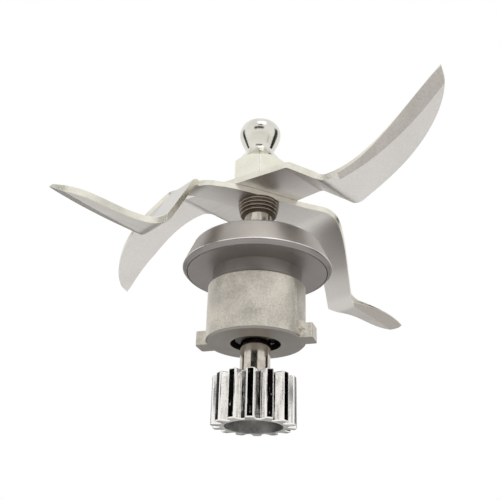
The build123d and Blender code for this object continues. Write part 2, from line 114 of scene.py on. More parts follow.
# Stage: pale floor well below the camera, white surroundings, dark cards that only reflections see
# Places and sizes are in metres
stage = {
    "floorHeight": -0.30,
    "floorSize": 8.0,
    "floorColour": "#f2f1ef",
    "floorRoughness": 0.9,
    "floorGlow": 0.45,
    "ambientColour": "#f6f4f1",
    "ambientStrength": 0.55,
    "cardRoughness": 0.95,
    "cards": {
        "cardHigh": {"place": (-0.12, -0.82, 0.29), "size": (0.78, 0.22), "colour": "#141210"},
        "cardTop": {"place": (0.0, -0.80, 0.64), "size": (0.34, 0.20), "colour": "#1c1a17"},
        "cardLeft": {"place": (-0.95, 0.20, 0.0), "size": (0.30, 1.20), "colour": "#3a3733"},
        "cardBehind": {"place": (0.0, 0.85, -0.27), "size": (1.80, 0.90), "colour": "#a5a29e"},
        "cardRight": {"place": (0.95, 0.10, 0.0), "size": (0.45, 1.40), "colour": "#3a3733"},
    },
    "lamps": {
        "keyBox": {
            "place": (0.10, -0.60, 0.85), "size": (0.60, 0.45), "watts": 1.1, "mirrored": True},
        "leftStrip": {
            "place": (-0.70, -0.50, 0.10), "size": (0.22, 0.90), "watts": 0.7, "mirrored": False},
        "rightStrip": {
            "place": (0.72, -0.45, 0.15), "size": (0.22, 0.90), "watts": 0.5, "mirrored": False},
        "lowBox": {
            "place": (0.0, -0.42, -0.27), "size": (0.70, 0.25), "watts": 0.3, "mirrored": False},
    },
    "aim": (0.0, 0.0, 0.05),
}
white = (1, 1, 1, 1)


def stagePlane(name, size, place, turn, material):
    mesh = bpy.data.meshes.new(name)
    x, y = size[0] / 2, size[1] / 2
    mesh.from_pydata([(-x, -y, 0), (x, -y, 0), (x, y, 0), (-x, y, 0)], [], [(0, 1, 2, 3)])
    mesh.materials.append(material)
    piece = bpy.data.objects.new(name, mesh)
    scene.collection.objects.link(piece)
    piece.matrix_world = Matrix.Translation(place) @ turn.to_matrix().to_4x4()
    return piece


# One for rays from the camera, in a mirror or through glass, nought for light that falls on the object
def seenDirectly(tree):
    path = addNode(tree, "ShaderNodeLightPath").outputs
    seen = path["Is Camera Ray"]
    for other in ("Is Glossy Ray", "Is Transmission Ray"):
        larger = addNode(tree, "ShaderNodeMath", {"operation": "MAXIMUM"}, {0: seen, 1: path[other]})
        seen = larger.outputs[0]
    return seen


def buildFloor(sizes):
    paint, tree, shader, _ = startMaterial("floorPaint", 0.0)
    shader.inputs["Base Color"].default_value = linearColour(sizes["floorColour"])
    shader.inputs["Roughness"].default_value = sizes["floorRoughness"]
    glow = addNode(tree, "ShaderNodeEmission",
                   inputs={"Color": white, "Strength": sizes["floorGlow"]})
    both = addNode(tree, "ShaderNodeAddShader", inputs={0: shader.outputs[0], 1: glow.outputs[0]})
    mixed = addNode(tree, "ShaderNodeMixShader",
                    inputs={0: seenDirectly(tree), 1: shader.outputs[0], 2: both.outputs[0]})
    end = next(n for n in tree.nodes if n.type == "OUTPUT_MATERIAL")
    tree.links.new(mixed.outputs[0], end.inputs["Surface"])
    level = Vector((0, 0, 1)).to_track_quat("Z", "Y")
    stagePlane("floor", (sizes["floorSize"],) * 2, (0, 0, sizes["floorHeight"]), level, paint)


def buildCards(sizes):
    for name, card in sizes["cards"].items():
        felt, _, shader, _ = startMaterial(name + "Felt", 0.0)
        shader.inputs["Base Color"].default_value = linearColour(card["colour"])
        shader.inputs["Roughness"].default_value = sizes["cardRoughness"]
        turn = (Vector(sizes["aim"]) - Vector(card["place"])).to_track_quat("Z", "Y")
        piece = stagePlane(name, card["size"], card["place"], turn, felt)
        piece.visible_camera = False
        piece.visible_diffuse = False
        piece.visible_shadow = False


def buildLamps(sizes):
    for name, lamp in sizes["lamps"].items():
        light = bpy.data.lights.new(name, "AREA")
        light.shape = "RECTANGLE"
        light.size, light.size_y = lamp["size"]
        light.energy = lamp["watts"]
        piece = bpy.data.objects.new(name, light)
        scene.collection.objects.link(piece)
        piece.visible_glossy = lamp["mirrored"]
        turn = (Vector(sizes["aim"]) - Vector(lamp["place"])).to_track_quat("-Z", "Y")
        piece.matrix_world = Matrix.Translation(lamp["place"]) @ turn.to_matrix().to_4x4()


def buildWorld(sizes):
    world = bpy.data.worlds.new("studio")
    scene.world = world
    world.use_nodes = True
    tree = world.node_tree
    tree.nodes.clear()
    ambient = {"Color": linearColour(sizes["ambientColour"]), "Strength": sizes["ambientStrength"]}
    dim = addNode(tree, "ShaderNodeBackground", inputs=ambient)
    plain = addNode(tree, "ShaderNodeBackground", inputs={"Color": white, "Strength": 1.0})
    mixed = addNode(tree, "ShaderNodeMixShader",
                    inputs={0: seenDirectly(tree), 1: dim.outputs[0], 2: plain.outputs[0]})
    addNode(tree, "ShaderNodeOutputWorld", inputs={"Surface": mixed.outputs[0]})
    scene.view_settings.view_transform = "Standard"


buildFloor(stage)
buildCards(stage)
buildLamps(stage)
buildWorld(stage)
print("stage and light set")


# Colour, gloss and relief of a finish, all from one pattern
def surface(tree, shader, pattern, colours, span, roughness, swing, bump, bumpMm):
    ramp = addNode(tree, "ShaderNodeValToRGB", inputs={"Fac": pattern})
    for element, code, at in zip(ramp.color_ramp.elements, colours, span):
        element.color = linearColour(code)
        element.position = at
    gloss = addNode(tree, "ShaderNodeMapRange",
                    inputs={"Value": pattern, "From Min": span[0], "From Max": span[1],
                            "To Min": roughness - swing, "To Max": roughness + swing})
    relief = addNode(tree, "ShaderNodeBump",
                     inputs={"Height": pattern, "Strength": bump, "Distance": bumpMm * mm})
    tree.links.new(ramp.outputs["Color"], shader.inputs["Base Color"])
    tree.links.new(gloss.outputs[0], shader.inputs["Roughness"])
    tree.links.new(relief.outputs[0], shader.inputs["Normal"])


# Two patterns added, the second with this share of the whole
def blended(tree, first, second, share):
    part = addNode(tree, "ShaderNodeMath", {"operation": "MULTIPLY"},
                   {0: second.outputs["Fac"], 1: share})
    total = addNode(tree, "ShaderNodeMath", {"operation": "MULTIPLY_ADD"},
                    {0: first.outputs["Fac"], 1: 1 - share, 2: part.outputs[0]})
    return total.outputs[0]


# Stainless sheet, brushed along the strip: satin, with faint long lines and slow tone changes
# The brush lines are finer in life and drawn 0.35 mm wide so that they show
def brushedStainless(name, colours, roughness, turn,
                     lineMm=0.35, stretch=30, toneMm=14, toneShare=0.45):
    material, tree, shader, place = startMaterial(name)
    along = addNode(tree, "ShaderNodeMapping", {"vector_type": "TEXTURE"},
                    {"Vector": place, "Rotation": (0, 0, math.radians(turn)),
                     "Scale": (stretch, 1, 1)})
    lines = addNode(tree, "ShaderNodeTexNoise",
                    inputs={"Vector": along.outputs[0], "Scale": perMetre(lineMm), "Detail": 3.0})
    tone = addNode(tree, "ShaderNodeTexNoise",
                   inputs={"Vector": place, "Scale": perMetre(toneMm), "Detail": 2.0})
    surface(tree, shader, blended(tree, lines, tone, toneShare), colours, span=(0.36, 0.64),
            roughness=roughness, swing=0.05, bump=0.05, bumpMm=0.05)
    return material


# Turned metal: fine rings round the shaft axis, from the lathe tool
def turnedMetal(name, colours, roughness, ringMm, depthMm, toneMm=6, toneShare=0.4):
    material, tree, shader, place = startMaterial(name)
    split = addNode(tree, "ShaderNodeSeparateXYZ", inputs={0: place}).outputs
    flat = addNode(tree, "ShaderNodeCombineXYZ", inputs={0: split[0], 1: split[1]})
    radius = addNode(tree, "ShaderNodeVectorMath", {"operation": "LENGTH"}, {0: flat.outputs[0]})
    rings = addNode(tree, "ShaderNodeCombineXYZ", inputs={0: radius.outputs["Value"], 2: split[2]})
    lines = addNode(tree, "ShaderNodeTexNoise",
                    inputs={"Vector": rings.outputs[0], "Scale": perMetre(ringMm), "Detail": 3.0})
    tone = addNode(tree, "ShaderNodeTexNoise",
                   inputs={"Vector": place, "Scale": perMetre(toneMm), "Detail": 4.0})
    surface(tree, shader, blended(tree, lines, tone, toneShare), colours, span=(0.35, 0.65),
            roughness=roughness, swing=0.06, bump=0.25, bumpMm=depthMm)
    return material


# Sand-cast aluminium, as cast: dull skin with soft grains and a slow stain
def castAluminium(name, colours, roughness, grainMm, metallic, stainMm=7, stainShare=0.5):
    material, tree, shader, place = startMaterial(name, metallic)
    grain = addNode(tree, "ShaderNodeTexNoise",
                    inputs={"Vector": place, "Scale": perMetre(grainMm),
                            "Detail": 5.0, "Roughness": 0.65})
    stain = addNode(tree, "ShaderNodeTexNoise",
                    inputs={"Vector": place, "Scale": perMetre(stainMm), "Detail": 3.0})
    surface(tree, shader, blended(tree, grain, stain, stainShare), colours, span=(0.34, 0.66),
            roughness=roughness, swing=0.05, bump=0.4, bumpMm=0.10)
    return material


# Polished or plated metal: nearly a mirror, with a slight waviness
def polishedMetal(name, colours, roughness, waveMm, depthMm):
    material, tree, shader, place = startMaterial(name)
    wave = addNode(tree, "ShaderNodeTexNoise",
                   inputs={"Vector": place, "Scale": perMetre(waveMm), "Detail": 2.0})
    surface(tree, shader, wave.outputs["Fac"], colours, span=(0.35, 0.65),
            roughness=roughness, swing=roughness * 0.2, bump=0.10, bumpMm=depthMm)
    return material


# Chrome over cut teeth: light and dark streaks along the teeth, painted reflections of a dark room,
# and bright nicks
def platedTeeth(name, colours, span, roughness, streakMm, stretch=7, nickMm=0.5, nickShare=0.3):
    material, tree, shader, place = startMaterial(name)
    along = addNode(tree, "ShaderNodeMapping", {"vector_type": "TEXTURE"},
                    {"Vector": place, "Scale": (1, 1, stretch)})
    streak = addNode(tree, "ShaderNodeTexNoise",
                     inputs={"Vector": along.outputs[0], "Scale": perMetre(streakMm), "Detail": 3.0})
    nick = addNode(tree, "ShaderNodeTexNoise",
                   inputs={"Vector": place, "Scale": perMetre(nickMm), "Detail": 2.0})
    surface(tree, shader, blended(tree, streak, nick, nickShare), colours, span,
            roughness=roughness, swing=roughness * 0.3, bump=0.2, bumpMm=0.03)
    return material


# Nitrile rubber, moulded: dull black with a fine grain
def mouldedRubber(name, colours, roughness, grainMm):
    material, tree, shader, place = startMaterial(name, 0.0)
    grain = addNode(tree, "ShaderNodeTexNoise",
                    inputs={"Vector": place, "Scale": perMetre(grainMm), "Detail": 3.0})
    surface(tree, shader, grain.outputs["Fac"], colours, span=(0.3, 0.7),
            roughness=roughness, swing=0.05, bump=0.2, bumpMm=0.03)
    return material


# Turn of each blade strip about the shaft, which its brush lines follow
lowerTurn = 40.0
upperTurn = -43.0

finishes = {
    # blade strips: pale satin sheet, darker ground bevels with lines across, bright cut edges that are
    # partly a painted highlight
    "lowerSheet": brushedStainless(
        "stainlessSheetBrushedLower", ("#cac7c4", "#d8d5d2"), roughness=0.40, turn=lowerTurn),
    "upperSheet": brushedStainless(
        "stainlessSheetBrushedUpper", ("#cecbc9", "#dddad8"), roughness=0.40, turn=upperTurn),
    "lowerGround": brushedStainless(
        "stainlessEdgeGroundLower", ("#a9a49e", "#b9b4ae"), roughness=0.40, turn=lowerTurn + 90),
    "upperGround": brushedStainless(
        "stainlessEdgeGroundUpper", ("#aaa5a1", "#c2bdb9"), roughness=0.40, turn=upperTurn + 90),
    # cut edges and their rounded rims: paler, partly the cut metal's own tone and partly a painted
    # highlight
    "shearedEdge": polishedMetal(
        "stainlessEdgeShearedAndHighlight", ("#dcd9cc", "#e9e6da"), roughness=0.32, waveMm=3.0, depthMm=0.004),
    # nut: warm nickel, satin on the hexagon and bright on the knob, with paler hexagon corners as a
    # painted highlight
    "nutHex": polishedMetal(
        "nickelPlatedNutSatin", ("#e4e2d3", "#edebdd"), roughness=0.32, waveMm=5.0, depthMm=0.004),
    "nutKnob": polishedMetal(
        "nickelPlatedNutPolished", ("#d4d2c9", "#e0ded5"), roughness=0.16, waveMm=3.0, depthMm=0.004),
    # hexagon corners: paler, a painted highlight
    "nutCorner": polishedMetal(
        "nickelPlatedNutCornerPaintedHighlight", ("#f0eee2", "#f6f4ea"), roughness=0.24, waveMm=1.0, depthMm=0.004),
    # coupling: crowns and valleys painted black as a painted dark reflection, with painted shade in
    # the valleys, between white flanks and corners painted white as a painted highlight
    # tooth crowns: near black, a painted reflection of a dark room
    "toothCrown": platedTeeth(
        "chromeToothCrownPaintedReflection", ("#090807", "#e2e0dd"), (0.60, 0.70),
        roughness=0.24, streakMm=0.4),
    "toothFlank": platedTeeth(
        "chromeToothFlank", ("#bdbbb8", "#fbf9f6"), (0.32, 0.50), roughness=0.20, streakMm=0.8),
    # tooth valleys: near black, painted shade between the teeth and a painted dark reflection
    "toothValley": platedTeeth(
        "chromeToothValleyPaintedShade", ("#141110", "#b9b6b3"), (0.46, 0.68), roughness=0.22, streakMm=0.6),
    # rounded tooth corners: near white, a painted highlight
    "toothCorner": polishedMetal(
        "chromeToothCornerPaintedHighlight", ("#f2f0ed", "#fbf9f6"), roughness=0.24, waveMm=0.6, depthMm=0.02),
    "couplingEnd": polishedMetal(
        "chromePlatedEnd", ("#e9e7e4", "#f8f6f3"), roughness=0.24, waveMm=0.7, depthMm=0.03),
    # recess: darker grey than the ends, in large light and dark patches, painted shade in the recess
    "recess": castAluminium(
        "chromePlatedRecessPaintedShade", ("#858585", "#dcdcdb"), roughness=0.38, grainMm=2.2, metallic=1.0),
    # housing: cloudy casting, with a turned neck painted darker as painted shade under the flange, a
    # painted highlight on the neck's shoulder, machined downward faces painted darker as painted
    # shade, and a bore painted near black as painted shade
    "housing": castAluminium(
        "aluminiumSandCast", ("#b4afa5", "#f0eade"), roughness=0.48, grainMm=0.45, metallic=0.80),
    # neck: turned, and painted darker as painted shade under the flange
    "neck": turnedMetal(
        "aluminiumNeckTurnedPaintedShade", ("#8f8985", "#a39d98"), roughness=0.44, ringMm=0.40, depthMm=0.03),
    # neck shoulder: painted paler, a painted highlight on its rounded edge
    "neckEdge": turnedMetal(
        "aluminiumNeckEdgePaintedHighlight", ("#d2ccc4", "#e2dcd4"), roughness=0.40, ringMm=0.40, depthMm=0.02),
    # bore: near black, painted shade inside the hole
    "shadedBore": turnedMetal(
        "aluminiumBorePaintedShade", ("#35322f", "#474340"), roughness=0.40, ringMm=0.30, depthMm=0.02),
    # downward machined faces of the flange and the floor: darker grey, painted shade
    "faced": turnedMetal(
        "aluminiumFacedPaintedShade", ("#8b8686", "#9b9696"), roughness=0.42, ringMm=0.30, depthMm=0.02),
    "floorFaced": turnedMetal(
        "aluminiumFloorFacedPaintedShade", ("#8b8782", "#9c9893"), roughness=0.42, ringMm=0.30, depthMm=0.02),
    # cover: grey turned steel with a bright rim, a painted highlight on the rounded bead
    "cover": turnedMetal(
        "steelTurned", ("#a09a94", "#b4aea8"), roughness=0.42, ringMm=0.30, depthMm=0.03),
    "coverRim": turnedMetal(
        "steelTurnedRimPaintedHighlight", ("#dedad4", "#f0ece6"), roughness=0.30, ringMm=0.30, depthMm=0.02),
    "coverLip": turnedMetal(
        "steelTurnedLip", ("#858180", "#959190"), roughness=0.38, ringMm=0.30, depthMm=0.02),
    # shaft and the rings on it: mirror-like shaft, brown burnished rings with pale rims that are a
    # painted highlight
    "shaft": polishedMetal(
        "steelShaftPolished", ("#b9b1a6", "#cfc8be"), roughness=0.14, waveMm=1.5, depthMm=0.01),
    "stack": turnedMetal(
        "steelRingsBurnished", ("#4c443b", "#5e554b"), roughness=0.32, ringMm=0.20, depthMm=0.02),
    "stackRim": turnedMetal(
        "steelRingsRimPaintedHighlight", ("#8a8074", "#a39a8e"), roughness=0.30, ringMm=0.20, depthMm=0.02),
    # pieces inside the housing
    "bearing": polishedMetal(
        "bearingSteelGround", ("#8f8d8a", "#a3a19e"), roughness=0.16, waveMm=1.5, depthMm=0.01),
    "spring": polishedMetal(
        "springSteelPhosphated", ("#3f3c39", "#4f4b47"), roughness=0.34, waveMm=0.8, depthMm=0.01),
    "cage": polishedMetal(
        "cageSteelPressed", ("#8d8983", "#a19d96"), roughness=0.28, waveMm=1.0, depthMm=0.01),
    "rubber": mouldedRubber(
        "nitrileRubberMoulded", ("#1d1c1b", "#2a2826"), roughness=0.62, grainMm=0.4),
}
print("finishes made:", len(finishes))


# A finished mesh takes the place of its CAD node, on the same body
def standFor(look, mesh):
    mesh.set_sharp_from_angle(angle=math.radians(look["sharpAngle"]))
    for finish in look["finishes"]:
        mesh.materials.append(finishes[finish])
    piece = bpy.data.objects.new(look["piece"], mesh)
    scene.collection.objects.link(piece)
    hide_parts(look["node"])
    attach(piece, look["body"])


# A copy of a CAD node with a finish for each face and rounded, worn edges where the rule says so; the
# rounded edges take a finish of their own, painted paler as a painted highlight on the nut and partly
# on the blades
# Faces closer to flat than flatAngle are joined first
flatAngle = 0.5


def dressedCopy(look, faceFinish, isWorn=None, reshape=None):
    work = bmesh.new()
    work.from_mesh(nodes[look["node"]].data)
    bmesh.ops.remove_doubles(work, verts=work.verts, dist=mergeMm * mm)
    bmesh.ops.dissolve_limit(work, angle_limit=math.radians(flatAngle),
                             verts=work.verts, edges=work.edges)
    if reshape:
        reshape(work)
    work.normal_update()
    for face in work.faces:
        finish = faceFinish(face.calc_center_median() / mm, face.normal)
        face.material_index = look["finishes"].index(finish)
    worn = [edge for edge in work.edges if isWorn and edge.is_manifold and isWorn(edge)]
    if worn:
        bmesh.ops.bevel(work, geom=worn, offset=look["rounding"] * mm, offset_type="OFFSET",
                        affect="EDGES", segments=look["steps"], profile=0.5, clamp_overlap=True,
                        material=look["finishes"].index(look["roundedEdgeFinish"]))
    for face in work.faces:
        face.smooth = True
    mesh = bpy.data.meshes.new(look["piece"])
    work.to_mesh(mesh)
    work.free()
    print(look["piece"], "has", len(mesh.polygons), "faces and", len(worn), "worn edges")
    standFor(look, mesh)


# Blade strips: cut edges and ground bevels are told by how far a face looks across the strip
# Across and rise are parts of a unit normal, root sizes are mm along and across the strip
bladeLook = {"body": "rotor", "slot": "blade_steel", "roundedEdgeFinish": "shearedEdge",
             "rounding": 0.12, "steps": 2, "sharpAngle": 12.0, "wornAngle": 50.0,
             "edgeAcross": 0.7, "edgeRise": 0.15, "groundAcross": 0.12}
blades = {
    "lower": {"piece": "lowerBladeSheet", "node": "lower_blade", "turn": lowerTurn,
              "finishes": ["lowerSheet", "lowerGround", "shearedEdge"], **bladeLook},
    "upper": {"piece": "upperBladeSheet", "node": "upper_blade", "turn": upperTurn,
              "root": {"inner": -8.0, "outer": -27.0, "blend": 7.0, "edge": -6.0, "extra": 5.5},
              "finishes": ["upperSheet", "upperGround", "shearedEdge"], **bladeLook},
}


def buildBlade(look):
    turn = math.radians(look["turn"])
    along = Vector((math.cos(turn), math.sin(turn), 0))
    side = Vector((-math.sin(turn), math.cos(turn), 0))
    root = look.get("root")

    # the strip is a little wider at the root of one arm, which closes the view between the strips
    def widenRoot(work):
        for vert in work.verts:
            place, across = vert.co.dot(along) / mm, vert.co.dot(side) / mm
            if across < root["edge"]:
                inner = (root["inner"] - place) / root["blend"]
                outer = (place - root["outer"]) / root["blend"]
                vert.co -= side * (root["extra"] * mm * max(0, min(1, inner, outer)))

    def bladeFinish(centre, normal):
        across = abs(normal.dot(side))
        # faces that look across the strip are cut edges, painted paler and partly a painted highlight
        if across > look["edgeAcross"] or abs(normal.z) < look["edgeRise"]:
            return "shearedEdge"
        return look["finishes"][1 if across > look["groundAcross"] else 0]

    def isWorn(edge):
        return edge.calc_face_angle() > math.radians(look["wornAngle"])

    dressedCopy(look, bladeFinish, isWorn, widenRoot if root else None)


for bladeSizes in blades.values():
    buildBlade(bladeSizes)

# Crown nut: only the hexagon's upright corners are rounded, and painted paler as a painted highlight
nut = {"piece": "nutBody", "node": "knob_nut", "body": "rotor", "slot": "polished_nut",
       "finishes": ["nutHex", "nutKnob", "nutCorner"], "roundedEdgeFinish": "nutCorner",
       "hexTop": 77.0, "hexRadius": 7.0, "uprightRise": 0.99, "wornAngle": 50.0,
       "rounding": 0.40, "steps": 3, "sharpAngle": 20.0}


def nutFinish(centre, normal):
    return "nutHex" if centre.z < nut["hexTop"] else "nutKnob"


def isHexCorner(edge):
    first, second = (vert.co for vert in edge.verts)
    return (edge.calc_face_angle() > math.radians(nut["wornAngle"])
            and abs((first - second).normalized().z) > nut["uprightRise"]
            and first.xy.length > nut["hexRadius"] * mm)


dressedCopy(nut, nutFinish, isHexCorner)

# Bearing housing: a face's finish follows from its radius, its height and the way it looks
housing = {"piece": "housingBody", "node": "bearing_housing", "body": "housing",
           "slot": "cast_aluminium",
           "finishes": ["housing", "faced", "floorFaced", "neck", "neckEdge", "shadedBore"],
           "boreRadius": 12.0, "boreLook": -0.5,
           "flangeLow": 41.7, "flangeNear": 0.3, "flangeLook": -0.7,
           "floorLow": 21.75, "floorNear": 0.6, "floorRadius": 13.3, "floorLook": -0.5,
           "neckRadius": 12.2, "neckNear": 0.15, "neckLook": 0.1, "neckEdgeLook": (0.3, 0.95),
           "bodyRadius": 13.24, "sharpAngle": 24.0}


def housingFinish(centre, normal):
    look = housing
    radius = centre.xy.length
    # the bore takes painted shade
    if radius < look["boreRadius"] and normal.xy.dot(centre.xy) < look["boreLook"]:
        return "shadedBore"
    # the flange's underside takes painted shade
    if normal.z < look["flangeLook"] and abs(centre.z - look["flangeLow"]) < look["flangeNear"]:
        return "faced"
    nearFloor = centre.z < look["floorLow"] + look["floorNear"] and radius < look["floorRadius"]
    # the floor's underside takes painted shade
    if normal.z < look["floorLook"] and nearFloor:
        return "floorFaced"
    # the neck under the flange takes painted shade
    if abs(radius - look["neckRadius"]) < look["neckNear"] and abs(normal.z) < look["neckLook"]:
        return "neck"
    # the rounded shoulder round the neck takes a painted highlight
    low, high = look["neckEdgeLook"]
    if low < normal.z < high and look["neckRadius"] < radius < look["bodyRadius"]:
        return "neckEdge"
    return "housing"


dressedCopy(housing, housingFinish)

# Stack rings: the rounded rims are painted paler than the flats, a painted highlight
stack = {"body": "rotor", "slot": "spring_steel", "finishes": ["stack", "stackRim"],
         "rimLook": (0.15, 0.95), "sharpAngle": 30.0,
         "rings": {"stackRingOne": "stack_ring_one", "stackRingTwo": "stack_ring_two",
                   "stackRingThree": "stack_ring_three", "stackRingFour": "stack_ring_four"}}


def stackFinish(centre, normal):
    low, high = stack["rimLook"]
    # rounded rims take a painted highlight
    return "stackRim" if low < abs(normal.z) < high else "stack"


for ringPiece, ringNode in stack["rings"].items():
    dressedCopy(dict(stack, piece=ringPiece, node=ringNode), stackFinish)
print("copies dressed")


# Rounds each corner of a closed profile by its own radius
def roundedProfile(corners, steps):
    points = []
    for i, (radius, height, rounding) in enumerate(corners):
        here = Vector((radius, height))
        before = (Vector(corners[i - 1][:2]) - here).normalized()
        after = (Vector(corners[(i + 1) % len(corners)][:2]) - here).normalized()
        if not rounding:
            points.append(here)
            continue
        half = before.angle(after) / 2
        reach = rounding / math.tan(half)
        middle = here + (before + after).normalized() * (rounding / math.sin(half))
        start = math.atan2(*reversed(here + before * reach - middle))
        end = math.atan2(*reversed(here + after * reach - middle))
        sweep = (end - start + math.pi) % (2 * math.pi) - math.pi
        for step in range(steps + 1):
            angle = start + sweep * step / steps
            points.append(middle + Vector((math.cos(angle), math.sin(angle))) * rounding)
    return points


# Flange cover: a lathe profile, each corner as radius, height and rounding
cover = {"piece": "coverBody", "node": "flange_cover", "body": "housing", "slot": "turned_steel",
         "finishes": ["cover", "coverRim", "coverLip"],
         "segments": 128, "steps": 4, "sharpAngle": 30.0,
         "lipRadius": 19.0, "lipHigh": 42.75,
         "rimRadius": 20.0, "rimLow": 42.75, "rimHigh": 43.25,
         "corners": [(19.1, 44.0, 0), (19.1, 42.15, 0), (19.35, 41.7, 0.08), (19.6, 41.7, 0.10),
                     (20.6, 42.8, 0.55), (17.8, 49.2, 0.35), (17.2, 49.8, 0.25),
                     (8.0, 49.8, 0), (8.0, 44.0, 0)]}


def coverFinish(centre, look):
    radius = centre.xy.length
    if radius > look["lipRadius"] and centre.z < look["lipHigh"]:
        return "coverLip"
    # the rounded bead takes a painted highlight
    if radius > look["rimRadius"] and look["rimLow"] <= centre.z < look["rimHigh"]:
        return "coverRim"
    return "cover"


def buildCover(look):
    work = bmesh.new()
    count = look["segments"]
    turns = [2 * math.pi * k / count for k in range(count)]
    rings = []
    for point in roundedProfile(look["corners"], look["steps"]):
        rings.append([work.verts.new((point.x * math.cos(turn) * mm, point.x * math.sin(turn) * mm,
                                      point.y * mm)) for turn in turns])
    for i, ring in enumerate(rings):
        following = rings[(i + 1) % len(rings)]
        for k in range(count):
            after = (k + 1) % count
            work.faces.new((ring[k], ring[after], following[after], following[k]))
    bmesh.ops.recalc_face_normals(work, faces=work.faces)
    for face in work.faces:
        face.smooth = True
        finish = coverFinish(face.calc_center_median() / mm, look)
        face.material_index = look["finishes"].index(finish)
    mesh = bpy.data.meshes.new(look["piece"])
    work.to_mesh(mesh)
    work.free()
    standFor(look, mesh)


buildCover(cover)
print("cover turned")

# Drive coupling: tooth outline, recess and bore from a few sizes
# Looks are parts of a unit normal, depths and margins are mm
coupling = {"piece": "couplingBody", "node": "drive_coupling", "body": "rotor",
            "slot": "plated_coupling",
            "finishes": ["toothFlank", "toothCrown", "toothCorner", "toothValley",
                         "couplingEnd", "recess"],
            "counts": {"toothCount": 14, "cornerSteps": 5, "recessSteps": 96, "boreSteps": 64},
            "sizes": {"rootRadius": 8.7, "tipRadius": 11.0, "baseWidth": 3.1, "tipWidth": 2.1,
                      "cornerRound": 0.62, "recessRadius": 7.5, "recessDepth": 8.0,
                      "boreRadius": 4.0, "height": 12.4},
            "turn": -95.5, "rounding": 0.35, "steps": 3, "sharpAngle": 32.0,
            "rimAngle": 60.0, "rimRadius": 8.0, "rimNear": 0.001,
            "recessMargin": 0.1, "endLook": 0.9, "cornerLook": 0.2,
            "crownDepth": 0.6, "crownLook": 0.985, "valleyLook": 0.75}

# Sums for the outline, which has four points a tooth: root, tip, tip, root
# Each row is a name, an operation and its inputs, as numbers or names from rows above
outlineSums = (
    ("pointPart", "DIVIDE", "index", 4.0),
    ("tooth", "FLOOR", "pointPart"),
    ("corner", "FLOORED_MODULO", "index", 4.0),
    ("fromMiddle", "SUBTRACT", "corner", 1.5),
    ("middleGap", "ABSOLUTE", "fromMiddle"),
    ("isTip", "LESS_THAN", "middleGap", 1.0),
    ("isLater", "GREATER_THAN", "corner", 1.5),
    ("twiceLater", "MULTIPLY", "isLater", 2.0),
    ("hand", "SUBTRACT", "twiceLater", 1.0),
    ("toothHeight", "SUBTRACT", "tipRadius", "rootRadius"),
    ("radius", "MULTIPLY_ADD", "isTip", "toothHeight", "rootRadius"),
    ("taper", "SUBTRACT", "tipWidth", "baseWidth"),
    ("width", "MULTIPLY_ADD", "isTip", "taper", "baseWidth"),
    ("halfWidth", "MULTIPLY", "width", 0.5),
    ("slope", "DIVIDE", "halfWidth", "radius"),
    ("reach", "ARCSINE", "slope"),
    ("pitch", "DIVIDE", 2 * math.pi, "toothCount"),
    ("toothAngle", "MULTIPLY_ADD", "tooth", "pitch", "turn"),
    ("offset", "MULTIPLY", "hand", "reach"),
    ("angle", "ADD", "toothAngle", "offset"),
    ("cosine", "COSINE", "angle"),
    ("sine", "SINE", "angle"),
    ("x", "MULTIPLY", "radius", "cosine"),
    ("y", "MULTIPLY", "radius", "sine"),
    ("pointCount", "MULTIPLY", "toothCount", 4.0),
    ("boreDepth", "SUBTRACT", "height", "recessDepth"),
)


